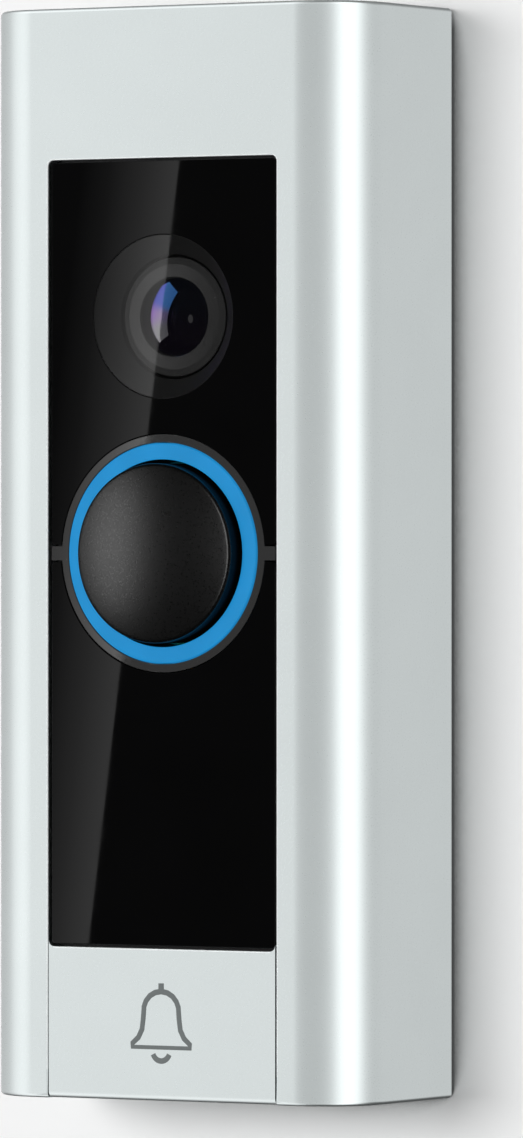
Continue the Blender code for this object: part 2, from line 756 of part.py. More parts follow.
SATIN_METAL = material("satin_metal", (0.70, 0.74, 0.74), 0.35, 0.6)
STEEL = material("steel", (0.62, 0.62, 0.62), 0.3, 1.0)
BRASS = material("brass", (0.80, 0.62, 0.30), 0.3, 1.0)
BLACK_PLASTIC = material("black_plastic", (0.02, 0.02, 0.02), 0.5)
MATT_BLACK = material("matt_black", (0.015, 0.015, 0.015), 0.6)
GLOSS_BLACK = material("gloss_black", (0.004, 0.004, 0.004), 0.05)
SMOKED = material("smoked", (0.012, 0.012, 0.012), 0.05)
GREY_PLASTIC = material("grey_plastic", (0.05, 0.05, 0.05), 0.3)
WHITE_PLASTIC = material("white_plastic", (0.8, 0.8, 0.8), 0.4)
BLUE_GUIDE = material("blue_guide", (0.02, 0.30, 0.70), 0.3)
BLUE_SLEEVE = material("blue_sleeve", (0.03, 0.10, 0.45), 0.4)
ORANGE = material("orange", (0.90, 0.25, 0.02), 0.4)
SILICONE = material("silicone", (0.03, 0.03, 0.03), 0.8)
GREEN_BOARD = material("green_board", (0.02, 0.20, 0.08), 0.4)
SENSOR = material("sensor", (0.05, 0.08, 0.10), 0.2)
GLASS = material("glass", (0.10, 0.10, 0.16), 0.02)
AMBER_FILM = material("amber_film", (0.65, 0.30, 0.05), 0.3)

make_faceplate()
make_badge_panel()
make_security_screw()
make_front_housing()
make_rear_housing()
make_gasket()
make_case_screws()
make_windows()
make_button()
make_camera()
make_light_board()
make_main_board()
make_speaker()
make_microphone()
make_side_controls()
make_terminals()
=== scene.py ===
"""Looks of the wired video doorbell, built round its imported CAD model.

Shapes are worked out in the bench frame, in millimetres: x to the right, y up the wall, and out away from it.
STAND turns them into the model's own frame, in metres. Places come from the CAD nodes' boxes.
"""

import json
import math

import bmesh
import bpy
from mathutils import Matrix, Vector


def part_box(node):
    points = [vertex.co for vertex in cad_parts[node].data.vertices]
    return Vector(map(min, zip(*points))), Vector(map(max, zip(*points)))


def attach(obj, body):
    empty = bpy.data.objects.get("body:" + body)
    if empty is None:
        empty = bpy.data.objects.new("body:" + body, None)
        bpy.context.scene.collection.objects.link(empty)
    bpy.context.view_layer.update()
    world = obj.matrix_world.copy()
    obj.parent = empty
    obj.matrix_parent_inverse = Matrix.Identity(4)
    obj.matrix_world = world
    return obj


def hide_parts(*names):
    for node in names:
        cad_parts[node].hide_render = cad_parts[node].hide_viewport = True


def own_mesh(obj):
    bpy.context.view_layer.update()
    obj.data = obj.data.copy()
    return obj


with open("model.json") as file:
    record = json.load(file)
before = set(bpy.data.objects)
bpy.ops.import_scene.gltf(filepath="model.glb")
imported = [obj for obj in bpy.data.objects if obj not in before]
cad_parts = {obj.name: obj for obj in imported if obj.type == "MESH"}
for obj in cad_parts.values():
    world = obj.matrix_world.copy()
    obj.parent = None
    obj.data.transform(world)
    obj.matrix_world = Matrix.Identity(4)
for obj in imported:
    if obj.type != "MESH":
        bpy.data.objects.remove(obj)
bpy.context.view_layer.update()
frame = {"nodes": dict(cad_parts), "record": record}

MM = 0.001
STAND = Matrix.Rotation(math.pi / 2, 4, "X") @ Matrix.Scale(MM, 4)


# ---------------------------------------------------------------- places, from the CAD


class Span:
    """A CAD node's box in the bench frame, in millimetres."""

    def __init__(self, node):
        low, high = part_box(node)
        self.left = low.x / MM
        self.right = high.x / MM
        self.bottom = low.z / MM
        self.top = high.z / MM
        self.back = -high.y / MM
        self.front = -low.y / MM
        self.x = (self.left + self.right) / 2
        self.y = (self.bottom + self.top) / 2
        self.out = (self.back + self.front) / 2
        self.radius = (self.right - self.left) / 2


SHELL = Span("faceplate_shell")
BADGE = Span("badge_panel")
SECURITY = Span("security_screw")
UPPER = Span("upper_window")
LOWER = Span("lower_window")
GUIDE = Span("light_guide")
CAP = Span("button_cap")
SPRING = Span("button_spring")
COVER = Span("camera_cover")
LENS = Span("front_lens")

FRONT = SHELL.front
WALL = 1.6  # thickness of the faceplate and the badge panel
SIDE_ROUND = 6.9  # of the faceplate's long front edges
END_ROUND = 0.45  # of its end and rear edges
CUT_ROUND = 0.14  # of the rounding round the windows' opening, which carries a painted highlight
OPENING_X = UPPER.right + 0.3  # half the opening's width
OPENING_Y = UPPER.top + 0.3  # half its height
OPENING_CORNER = 0.65

BEZEL_SEAM = 0.08  # between the windows and the bezel
BEZEL_RADIUS = 12.42
BEZEL_BORE = 11.55
EAR_FOOT = 12.0  # where the bezel's ears start, inside the bezel
EAR_HALF = 0.73  # half an ear's height
GUIDE_BORE = 9.78

COVER_DISC = COVER.radius - 0.07
SHROUD_BORE = 6.53
LENS_GROOVE = 6.25  # outer radius of the lens surround
LENS_STEP = 18.68  # the height that the lens's and the shroud's steps are measured from
PUPIL = 4.05

TOUCH = 0.001  # slack for telling whether a point is on a plane
MERGE = 1e-4  # points nearer than this are one
PAST = 5  # how far a cutter runs past what it cuts
INTO = 3  # how far a cutter for the faceplate goes in
THROUGH = (10, 30)  # back and front of a cutter that goes through the windows


# ---------------------------------------------------------------- mesh tools


def arc(x, y, radius, start, end, steps):
    """Points of an arc, in degrees."""
    turn = [math.radians(start + (end - start) * i / steps) for i in range(steps + 1)]
    return [(x + radius * math.cos(a), y + radius * math.sin(a)) for a in turn]


def rectangle(left, bottom, right, top, radii=(0, 0, 0, 0), steps=8):
    """A closed outline, anticlockwise from the bottom left corner, with each corner's own radius."""
    corners = [
        (left, bottom, 1, 1, 180),
        (right, bottom, -1, 1, 270),
        (right, top, -1, -1, 0),
        (left, top, 1, -1, 90),
    ]
    points = []
    for (x, y, dx, dy, start), radius in zip(corners, radii):
        if radius:
            points += arc(x + dx * radius, y + dy * radius, radius, start, start + 90, steps)
        else:
            points.append((x, y))
    return points


def box(left, bottom, back, right, top, front):
    return prism(rectangle(left, bottom, right, top), back, front)


def prism(outline, low, high, axis="out"):
    """A solid between low and high along an axis.

    The outline holds (x, y) points for out, (x, out) for up and (y, out) for right.
    """
    places = {
        "out": lambda a, b, h: (a, b, h),
        "up": lambda a, b, h: (a, h, b),
        "right": lambda a, b, h: (h, a, b),
    }[axis]
    shape = bmesh.new()
    loops = [[shape.verts.new(places(a, b, h)) for a, b in outline] for h in (low, high)]
    count = len(outline)
    for i in range(count):
        j = (i + 1) % count
        shape.faces.new((loops[0][i], loops[0][j], loops[1][j], loops[1][i]))
    shape.faces.new(loops[0][::-1])
    shape.faces.new(loops[1])
    bmesh.ops.recalc_face_normals(shape, faces=shape.faces)
    return shape


def turned(profile, x=0.0, y=0.0, out=0.0, axis="out", steps=96):
    """A turned solid from a profile of (radius, height) points.

    The profile is closed if it stays off the axis. Otherwise it runs from axis to axis.
    """
    places = {
        "out": lambda c, s, h: (x + c, y + s, out + h),
        "up": lambda c, s, h: (x + c, y + h, out + s),
    }[axis]
    shape = bmesh.new()
    turns = [math.tau * i / steps for i in range(steps)]
    loops = []
    for radius, height in profile:
        loop = [(radius * math.cos(a), radius * math.sin(a)) for a in turns] if radius > MERGE else [(0, 0)]
        loops.append([shape.verts.new(places(c, s, height)) for c, s in loop])
    pairs = list(zip(loops, loops[1:]))
    if profile[0][0] > MERGE:
        pairs.append((loops[-1], loops[0]))
    for first, second in pairs:
        for i in range(steps):
            j = (i + 1) % steps
            corners = [first[i % len(first)], first[j % len(first)]]
            corners += [second[j % len(second)], second[i % len(second)]]
            corners = list(dict.fromkeys(corners))
            if len(corners) > 2:
                shape.faces.new(corners)
    bmesh.ops.recalc_face_normals(shape, faces=shape.faces)
    return shape


def rod(radius, x, y, back, front, steps):
    return turned([(0, front), (radius, front), (radius, back), (0, back)], x, y, steps=steps)


def upright_rod(radius, low, high, x, y, out, steps=96):
    return turned([(0, high), (radius, high), (radius, low), (0, low)], x, y, out, "up", steps)


def soft_profile(corners, steps=5):
    """A closed profile of (radius, height, round) corners, with each corner rounded."""
    points = []
    count = len(corners)
    for i, (radius, height, fillet) in enumerate(corners):
        here = Vector((radius, height))
        before = Vector(corners[i - 1][:2]) - here
        after = Vector(corners[(i + 1) % count][:2]) - here
        if not fillet:
            points.append(tuple(here))
            continue
        start = here + before.normalized() * fillet
        end = here + after.normalized() * fillet
        for step in range(steps + 1):
            t = step / steps
            points.append(tuple((1 - t) ** 2 * start + 2 * t * (1 - t) * here + t**2 * end))
    return points


def round_edges(shape, radius, picks, steps, clamp=True):
    """Rounds the sharp edges of a plain solid whose two ends picks says yes to."""
    sharp = math.radians(40)
    edges = [
        e
        for e in shape.edges
        if len(e.link_faces) == 2 and e.calc_face_angle(0) > sharp and picks(e.verts[0].co, e.verts[1].co)
    ]
    bmesh.ops.bevel(
        shape, geom=edges, offset=radius, segments=steps, profile=0.5, affect="EDGES", clamp_overlap=clamp
    )


def mesh_object(name, shape):
    """A new object of a shape, which is used up."""
    mesh = bpy.data.meshes.new(name)
    shape.to_mesh(mesh)
    shape.free()
    made = bpy.data.objects.new(name, mesh)
    bpy.context.scene.collection.objects.link(made)
    return made


def shape_of(obj):
    """The object's shape with its modifiers applied. The object itself is removed."""
    graph = bpy.context.evaluated_depsgraph_get()
    mesh = bpy.data.meshes.new_from_object(obj.evaluated_get(graph))
    bpy.data.objects.remove(obj, do_unlink=True)
    shape = bmesh.new()
    shape.from_mesh(mesh)
    bpy.data.meshes.remove(mesh)
    return shape


def tube(points, radius, closed=False):
    """A round bar along a line of points."""
    curve = bpy.data.curves.new("scratch", "CURVE")
    curve.dimensions = "3D"
    curve.bevel_depth = radius
    curve.bevel_resolution = 4
    curve.use_fill_caps = True
    spline = curve.splines.new("POLY")
    spline.points.add(len(points) - 1)
    for place, point in zip(spline.points, points):
        place.co = (*point, 1)
    spline.use_cyclic_u = closed
    line = bpy.data.objects.new("scratch", curve)
    bpy.context.scene.collection.objects.link(line)
    return shape_of(line)


def carve(shape, add=(), take=(), edge=0.0, steps=3):
    """The solid with others joined to it and taken from it, and its sharp edges rounded."""
    base = mesh_object("scratch", shape)
    helpers = []
    for operation, group in (("UNION", add), ("DIFFERENCE", take)):
        for other in group:
            helper = mesh_object("scratch", other)
            helpers.append(helper)
            modifier = base.modifiers.new("carve", "BOOLEAN")
            modifier.operation = operation
            modifier.solver = "EXACT"
            modifier.object = helper
    if edge:
        bevel = base.modifiers.new("edge", "BEVEL")
        bevel.width = edge
        bevel.segments = steps
        bevel.limit_method = "ANGLE"
        bevel.angle_limit = math.radians(35)
        bevel.use_clamp_overlap = True
        bevel.miter_outer = "MITER_ARC"
        bevel.harden_normals = False
    made = shape_of(base)
    for helper in helpers:
        bpy.data.objects.remove(helper, do_unlink=True)
    return made


def piece(name, shape, made_of, body, stands_for=(), smooth=40):
    """Makes a finished piece of a shape in the bench frame, and gives it its material and body."""
    bmesh.ops.remove_doubles(shape, verts=shape.verts, dist=MERGE)
    shape.transform(STAND)
    bmesh.ops.recalc_face_normals(shape, faces=shape.faces)
    made = mesh_object(name, shape)
    made.data.materials.append(made_of)
    made.data.shade_smooth()
    made.data.set_sharp_from_angle(angle=math.radians(smooth))
    normals = made.modifiers.new("normals", "WEIGHTED_NORMAL")
    normals.keep_sharp = True
    normals.weight = 100
    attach(made, body)
    if stands_for:
        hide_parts(*stands_for)
    return made


def repaint(made, picks, made_of):
    """Gives a second material to the faces whose middles, in the bench frame, picks says yes to."""
    made.data.materials.append(made_of)
    back = STAND.inverted()
    for face in made.data.polygons:
        if picks(back @ face.center):
            face.material_index = 1


def off_axis(place, x=0.0, y=0.0):
    """How far a place is from an axis that points out of the wall."""
    return math.hypot(place.x - x, place.y - y)


# ---------------------------------------------------------------- materials

NOISE_LOW, NOISE_HIGH = 0.3, 0.7  # the range that noise mostly keeps to


class Tree:
    """The node tree of a material or world, emptied, with short ways to add and join nodes."""

    def __init__(self, owner):
        owner.use_nodes = True
        self.nodes = owner.node_tree.nodes
        self.links = owner.node_tree.links
        self.nodes.clear()

    def add(self, kind, **values):
        """A new node with its inputs' values. An underscore stands for a space in an input's name."""
        made = self.nodes.new("ShaderNode" + kind)
        for name, value in values.items():
            made.inputs[name.replace("_", " ")].default_value = value
        return made

    def join(self, source, target):
        self.links.new(source, target)

    def mix(self, factor, first, second):
        """A mix of two shaders."""
        made = self.add("MixShader")
        for target, source in zip(made.inputs, (factor, first, second)):
            self.join(source, target)
        return made.outputs[0]

    def both(self, first, second):
        """Two shaders' light together."""
        made = self.add("AddShader")
        self.join(first, made.inputs[0])
        self.join(second, made.inputs[1])
        return made.outputs[0]

    def finish(self, shader, kind="OutputMaterial"):
        self.join(shader, self.add(kind).inputs[0])


def new_material(name):
    made = bpy.data.materials.new(name)
    return made, Tree(made)


def shader_of(tree, colour, roughness, metallic=0.0, **inputs):
    shader = tree.add("BsdfPrincipled", Roughness=roughness, Metallic=metallic, **inputs)
    shader.inputs["Base Color"].default_value = (*colour, 1)
    tree.finish(shader.outputs[0])
    return shader


def place_noise(tree, size_mm, detail=2.0, stretch=(1, 1, 1)):
    """Noise whose grain is size_mm across, fixed to the object."""
    scale = tree.add("Mapping", Scale=[s / (size_mm * MM) for s in stretch])
    noise = tree.add("TexNoise", Scale=1.0, Detail=detail)
    tree.join(object_place(tree), scale.inputs["Vector"])
    tree.join(scale.outputs["Vector"], noise.inputs["Vector"])
    return noise.outputs["Fac"]


def object_place(tree):
    return tree.add("TexCoord").outputs["Object"]


def object_axes(tree):
    """The object's own coordinates, as outputs named X, Y and Z."""
    apart = tree.add("SeparateXYZ")
    tree.join(object_place(tree), apart.inputs[0])
    return apart.outputs


def ranged(tree, source, low, high, **to):
    """A value's place between low and high, from 0 to 1 or to the given To_Min and To_Max."""
    change = tree.add("MapRange", From_Min=low, From_Max=high, **to)
    tree.join(source, change.inputs["Value"])
    return change.outputs["Result"]


def ramp(tree, source, stops):
    """A colour for each value, from (value, colour) stops in order."""
    made = tree.add("ValToRGB")
    elements = made.color_ramp.elements
    for element, (at, colour) in zip(list(elements), (stops[0], stops[-1])):
        element.position = at
        element.color = (*colour, 1)
    for at, colour in stops[1:-1]:
        elements.new(at).color = (*colour, 1)
    tree.join(source, made.inputs["Fac"])
    return made.outputs["Color"]


def tinted(tree, source, first, second):
    return ramp(tree, source, [(NOISE_LOW, first), (NOISE_HIGH, second)])


def roughened(tree, shader, noise, low, high):
    gloss = ranged(tree, noise, NOISE_LOW, NOISE_HIGH, To_Min=low, To_Max=high)
    tree.join(gloss, shader.inputs["Roughness"])


def bumped(tree, shader, source, height_mm):
    bump = tree.add("Bump", Distance=height_mm * MM, Strength=1.0)
    tree.join(source, bump.inputs["Height"])
    tree.join(bump.outputs["Normal"], shader.inputs["Normal"])


def grey(level):
    return (level, level, level)


def shade(colour, by):
    return tuple(c * by for c in colour)


def surface(
    name, colour, roughness, metallic=0.0, vary=0.06, grain_mm=0.3, grain_height=0.002, spread=0.05, **inputs
):
    """A moulded, painted or metal surface with fine grain, and a little unevenness in colour and gloss."""
    made, tree = new_material(name)
    shader = shader_of(tree, colour, roughness, metallic, **inputs)
    tint = tinted(tree, place_noise(tree, 9.0, 3.0), shade(colour, 1 - vary), shade(colour, 1 + vary))
    tree.join(tint, shader.inputs["Base Color"])
    fine = place_noise(tree, grain_mm)
    roughened(tree, shader, fine, roughness - spread, roughness + spread)
    bumped(tree, shader, fine, grain_height)
    return made


def brushed(name, colour, roughness):
    """Metal with fine brush marks that run up it."""
    made, tree = new_material(name)
    shader = shader_of(tree, colour, roughness, 1.0)
    marks = place_noise(tree, 0.25, 3.0, (1, 1, 1 / 12))
    tree.join(tinted(tree, marks, shade(colour, 0.86), shade(colour, 1.08)), shader.inputs["Base Color"])
    roughened(tree, shader, marks, roughness - 0.06, roughness + 0.08)
    bumped(tree, shader, marks, 0.002)
    return made


def smoked_cover(name):
    """Smoky clear plastic: it darkens what is behind it a little, and mirrors."""
    made, tree = new_material(name)
    see = tree.add("BsdfTransparent", Color=(0.93, 0.93, 0.93, 1))
    mirror = tree.add("BsdfGlossy", Roughness=0.01)
    fresnel = tree.add("Fresnel", IOR=1.8)
    tree.finish(tree.mix(fresnel.outputs[0], see.outputs[0], mirror.outputs[0]))
    return made


def clear_plastic(name):
    made, tree = new_material(name)
    tree.finish(tree.add("BsdfTransparent").outputs[0])
    return made


def lit_guide(name, colour, strength):
    """Diffusing plastic lit from behind: nearly even, with a faint unevenness in its glow."""
    made, tree = new_material(name)
    shader = shader_of(tree, shade(colour, 0.3), 0.35, Emission_Strength=strength)
    glow = place_noise(tree, 5.0, 1.0)
    base = tinted(tree, glow, shade(colour, 0.28), shade(colour, 0.32))
    light = tinted(tree, glow, shade(colour, 0.95), shade(colour, 1.05))
    tree.join(base, shader.inputs["Base Color"])
    tree.join(light, shader.inputs["Emission Color"])
    bumped(tree, shader, place_noise(tree, 0.2), 0.001)
    return made


def coated_lens_painted_tint(name):
    """Dark lens glass with a painted reflection of its coating in its colour: bluish at the top and violet
    towards the bottom.
    """
    made, tree = new_material(name)
    shader = shader_of(tree, (0.004, 0.004, 0.008), 0.02, IOR=1.6)
    # The painted reflection tint changes with height.
    height = ranged(tree, object_axes(tree)["Z"], (LENS.bottom + 1) * MM, (LENS.top - 1) * MM)
    colour = tinted(tree, height, (0.002, 0.001, 0.004), (0.001, 0.0015, 0.004))
    tree.join(colour, shader.inputs["Base Color"])
    return made


# A painted highlight: a lighter, non-metal colour for the rounding round the windows' opening, so that it
# shows as a bright line.
EDGE_HIGHLIGHT_PAINT = surface("painted_edge_highlight", (0.86, 0.9, 0.9), 0.35, grain_mm=0.2, grain_height=0.0005)
SATIN = surface(
    "satin_faceplate",
    (0.76, 0.815, 0.815),
    0.3,
    metallic=1.0,
    vary=0.012,
    grain_mm=0.12,
    grain_height=0.0004,
    spread=0.03,
)
BLACK = surface("black_case_plastic", (0.018, 0.018, 0.019), 0.5, grain_mm=0.25, grain_height=0.004)
CAP_BLACK = surface(
    "button_black", grey(0.0012), 0.30, vary=0.1, grain_mm=0.2, grain_height=0.0085, spread=0.04
)
SKIRT_BLACK = surface("button_skirt", grey(0.001), 0.5, grain_mm=0.24, Specular_IOR_Level=0.2)
GLOSS = surface(
    "gloss_black", (0.0016, 0.0016, 0.0017), 0.01, vary=0.1, grain_mm=2.5, grain_height=0.00002, spread=0.003
)
BEZEL_GREY = surface(
    "bezel_grey",
    grey(0.033),
    0.02,
    vary=0.04,
    grain_mm=0.5,
    grain_height=0.00003,
    spread=0.01,
    IOR=1.9,
    Specular_IOR_Level=0.6,
)
LENS_FACE = surface(
    "lens_face",
    grey(0.036),
    0.06,
    vary=0.04,
    grain_mm=0.2,
    grain_height=0.0001,
    spread=0.02,
    IOR=1.9,
    Specular_IOR_Level=0.6,
)
SMOKED = smoked_cover("smoked_cover")
CLEAR = clear_plastic("clear_plastic")
BLUE = lit_guide("blue_light_guide", (0.013, 0.294, 0.67), 0.62)
LENS_GLASS = coated_lens_painted_tint("coated_lens_painted_tint")
SHROUD = surface("camera_shroud", grey(0.018), 0.55, grain_mm=0.2)
# Near-total black: the camera's inner black parts, and painted shade in the groove round the lens.
PITCH = surface("pitch_black", grey(0.002), 0.6)
PRINT = surface("grey_print", (0.125, 0.14, 0.14), 0.45, vary=0.04, grain_mm=0.15, grain_height=0.001)
STEEL = brushed("brushed_steel", grey(0.60), 0.3)
BRASS = brushed("brass_plate", (0.80, 0.58, 0.28), 0.3)
SILICONE = surface("silicone", (0.035, 0.035, 0.036), 0.7, grain_mm=0.4)
ORANGE = surface("orange_plastic", (0.85, 0.22, 0.02), 0.4)
WHITE = surface("white_plastic", (0.78, 0.78, 0.77), 0.4)
BOARD = surface("circuit_board", (0.012, 0.13, 0.05), 0.35, vary=0.25, grain_mm=0.5)
SENSOR = surface("sensor_glass", (0.04, 0.07, 0.09), 0.15, vary=0.3, grain_mm=0.2)
AMBER = surface("amber_film", (0.60, 0.26, 0.04), 0.3, vary=0.15)
SLEEVE = surface("blue_sleeve", (0.03, 0.09, 0.40), 0.35)
FERRITE = surface("ferrite", (0.03, 0.03, 0.035), 0.6, grain_height=0.01)


def paint_cad_nodes():
    """Gives every carried-over CAD node a procedural material for its slot."""
    by_slot = {
        "faceplate_paint": SATIN,
        "black_plastic": BLACK,
        "button_black": CAP_BLACK,
        "window_gloss": GLOSS,
        "smoked_cover": SMOKED,
        "bezel_grey": BEZEL_GREY,
        "blue_light_guide": BLUE,
        "white_plastic": WHITE,
        "orange_plastic": ORANGE,
        "silicone": SILICONE,
        "steel": STEEL,
        "brass_plate": BRASS,
        "circuit_board": BOARD,
        "sensor_glass": SENSOR,
        "lens_glass": LENS_GLASS,
        "amber_film": AMBER,
        "blue_sleeve": SLEEVE,
        "copper_wound_ferrite": FERRITE,
    }
    slots = {entry["node"]: entry["material_slot"] for entry in frame["record"]["subparts"]}
    for name, node in frame["nodes"].items():
        node.data.materials.clear()
        node.data.materials.append(by_slot[slots[name]])


# ---------------------------------------------------------------- faceplate


def u_outline(half_width, back, front, radius):
    """The faceplate's cross-section in (x, out), closed along the wall side."""
    return rectangle(-half_width, back, half_width, front, (0, 0, radius, radius), 24)


def make_faceplate():
    outer = prism(u_outline(SHELL.right, SHELL.back, FRONT, SIDE_ROUND), SHELL.bottom, SHELL.top, "up")
    round_edges(outer, END_ROUND, at_end_or_rear, 4)
    inner = u_outline(SHELL.right - WALL, SHELL.back - PAST, FRONT - WALL, SIDE_ROUND - WALL)
    inner = prism(inner, SHELL.bottom + WALL, SHELL.top - WALL, "up")
    corners = (0, 0, OPENING_CORNER, OPENING_CORNER)
    opening = rectangle(-OPENING_X, SHELL.bottom - PAST, OPENING_X, OPENING_Y, corners)
    opening = prism(opening, FRONT - INTO, FRONT + PAST)
    underside = box(-OPENING_X, SHELL.bottom - PAST, -PAST, OPENING_X, SHELL.bottom + INTO, FRONT)
    shape = carve(outer, take=(inner, opening, underside))
    round_edges(shape, CUT_ROUND, beside_opening, 3, clamp=False)
    shell = piece("faceplate", shape, SATIN, "faceplate", ["faceplate_shell"])
    # The rounding round the opening gets the painted highlight.
    repaint(shell, on_highlight_rounding, EDGE_HIGHLIGHT_PAINT)
    return shell


def at_end_or_rear(first, second):
    """Whether an edge of the faceplate's outer block lies in an end or along the wall."""
    return abs(first.y - second.y) < MERGE or max(first.z, second.z) < SHELL.back + 0.01


def beside_opening(first, second):
    """Whether an edge runs round the front of the windows' opening."""
    on_front = min(first.z, second.z) > FRONT - TOUCH
    return on_front and max(abs(first.x), abs(second.x)) < OPENING_X + TOUCH


def on_highlight_rounding(middle):
    """Whether a face belongs to the narrow rounding round the windows' opening, which gets a painted
    highlight.
    """
    slack = 0.2
    beside = abs(middle.x) < OPENING_X + slack and abs(middle.y) < OPENING_Y + slack
    return beside and FRONT - CUT_ROUND + 0.01 < middle.z < FRONT - TOUCH


def make_badge():
    """The badge panel between the rails, with tabs behind them, and the bell symbol printed on it."""
    gap = 0.13  # to each rail
    floor = BADGE.bottom + WALL
    top = -OPENING_Y
    half = OPENING_X - gap
    corner = half - OPENING_CORNER  # where the straight top ends
    tab_bottom, tab_top = floor + 0.8, top - 1.8

    def on_straight_top(first, second):
        high = min(first.y, second.y) > top - 0.01
        return beside_opening(first, second) and high and max(abs(first.x), abs(second.x)) < corner + 0.01

    panel = prism(badge_section(floor, top), -half, half, "right")
    tabs = box(BADGE.left, tab_bottom, FRONT - 3.2, BADGE.right, tab_top, FRONT - 2.0)
    bridge = box(-13, tab_bottom, FRONT - 2.6, 13, tab_top, FRONT - 0.8)
    horns = []  # they fill the opening's lower corners
    for side in (-1, 1):
        horn = arc(side * corner, top + OPENING_CORNER, OPENING_CORNER, 270, 270 + side * 90, 8)
        horn += [(side * half, top - 0.4), (side * corner, top - 0.4)]
        horns.append(prism(horn, FRONT - WALL, FRONT))
    screw_seat = upright_rod(2.6, -2, 1.0, 0, BADGE.bottom, SECURITY.out)
    screw_hole = upright_rod(1.7, -2, 4, 0, BADGE.bottom, SECURITY.out)
    sound_hole = upright_rod(0.6, -2, 4, 8.0, BADGE.bottom, 12.5, 32)
    shape = carve(panel, add=(*horns, tabs, bridge), take=(screw_seat, screw_hole, sound_hole))
    round_edges(shape, CUT_ROUND, on_straight_top, 3, clamp=False)
    plate = piece("badge_plate", shape, SATIN, "faceplate", ["badge_panel"])
    # The panel's top rounding gets the painted highlight too.
    repaint(plate, lambda middle: on_highlight_rounding(middle) and middle.y > top - CUT_ROUND - 0.03, EDGE_HIGHLIGHT_PAINT)
    return [plate, *make_bell_symbol((BADGE.bottom + top) / 2 + 0.4)]


def badge_section(floor, top):
    """The badge panel's L-shaped section in (y, out), rounded at the bend."""
    bottom = BADGE.bottom
    outer, inner = 0.7, 0.6
    outside = arc(bottom + outer, FRONT - outer, outer, 180, 90, 8)
    inside = arc(floor + inner, FRONT - WALL - inner, inner, 90, 180, 6)
    return [(bottom, BADGE.back), *outside, (top, FRONT), (top, FRONT - WALL), *inside, (floor, BADGE.back)]


def make_bell_symbol(centre):
    """A plain bell pictogram, printed on the badge panel: dome, flared hem, clapper and top knob."""
    side = [(0.0, 3.1)]
    side += [(2.15 * math.sin(a), 1.05 + 2.05 * math.cos(a)) for a in (0.35, 0.7, 1.05, 1.35)]
    side += [(2.2, 0.2), (2.35, -0.9), (2.8, -1.75), (3.5, -2.35)]
    outline = side + [(3.5, -2.75), (-3.5, -2.75)] + [(-x, y) for x, y in side[:0:-1]]
    clapper = arc(0, -3.1, 1.05, 200, 340, 12)
    return [
        stroke("bell_outline", outline, centre, 0.3, closed=True),
        stroke("bell_clapper", clapper, centre, 0.3),
        stroke("bell_knob", [(0, 3.2), (0, 3.95)], centre, 0.34),
    ]


def stroke(name, points, centre, half_width, closed=False):
    """A flat printed line, standing a little off the badge panel."""
    ink = 0.03
    shape = tube([(x, y, 0) for x, y in points], half_width, closed)
    flatten = Matrix.Translation((0, centre, FRONT)) @ Matrix.Diagonal((1, 1, ink / half_width, 1))
    shape.transform(flatten)
    return piece(name, shape, PRINT, "faceplate")


def make_security_screw():
    """The screw up into the badge panel's underside: a flat soft-edged head with a six-sided socket."""
    head = [(0, 0), (1.9, 0), (2.15, 0.06), (2.3, 0.25), (2.3, 0.75)]
    shank = [(1.3, 0.75), (1.3, 4.0), (1.0, 4.3), (0, 4.3)]
    body = turned(head + shank, 0, SECURITY.bottom, SECURITY.out, "up", 64)
    socket = upright_rod(0.95, -1, 0.45, 0, SECURITY.bottom, SECURITY.out, 6)
    shape = carve(body, take=[socket], edge=0.04, steps=2)
    return piece("tamper_screw", shape, STEEL, "security_screw", ["security_screw"])


# ---------------------------------------------------------------- windows, button


def make_windows():
    panels = []
    for name, span, node in (("upper_panel", UPPER, "upper_window"), ("lower_panel", LOWER, "lower_window")):
        outline = rectangle(span.left, span.bottom, span.right, span.top, (0.35,) * 4, 5)
        take = [rod(BEZEL_RADIUS + BEZEL_SEAM, 0, 0, *THROUGH, 192)]
        if span is UPPER:
            take.append(rod(COVER.radius, COVER.x, COVER.y, *THROUGH, 160))
        shape = carve(prism(outline, span.back, UPPER.front), take=take, edge=0.08)
        panels.append(piece(name, shape, GLOSS, "core", [node]))
    return panels


def make_surround():
    """The bezel round the button, with an ear on each side."""
    front, back = UPPER.front, 15
    section = [
        (BEZEL_BORE, front, 0.1),
        (BEZEL_RADIUS, front, 0.06),
        (BEZEL_RADIUS, back, 0),
        (BEZEL_BORE, back, 0),
    ]
    ears = []
    for side in (-1, 1):
        left, right = sorted((side * EAR_FOOT, side * UPPER.right))
        ears.append(box(left, -EAR_HALF, UPPER.back, right, EAR_HALF, front))
    shape = carve(turned(soft_profile(section, 4), steps=192), add=ears, edge=0.05, steps=2)
    return piece("button_surround", shape, BEZEL_GREY, "core", ["button_bezel"], 5)


def make_light_guide():
    """The blue annulus round the cap. Its bore is black: painted shade for the dark gap round the cap."""
    rim = BEZEL_BORE - 0.05
    section = [
        (GUIDE_BORE, GUIDE.front, 0.1),
        (rim, GUIDE.front, 0.2),
        (rim, GUIDE.back, 0),
        (GUIDE_BORE, GUIDE.back, 0),
    ]
    shape = turned(soft_profile(section, 6), steps=192)
    annulus = piece("light_annulus", shape, BLUE, "core", ["light_guide"])

    def in_bore(middle):
        return off_axis(middle) < GUIDE_BORE + 0.05 and middle.z < GUIDE.front - 0.04

    # Painted shade: black plastic on the bore, so that the gap round the cap reads dark.
    repaint(annulus, in_bore, BLACK)


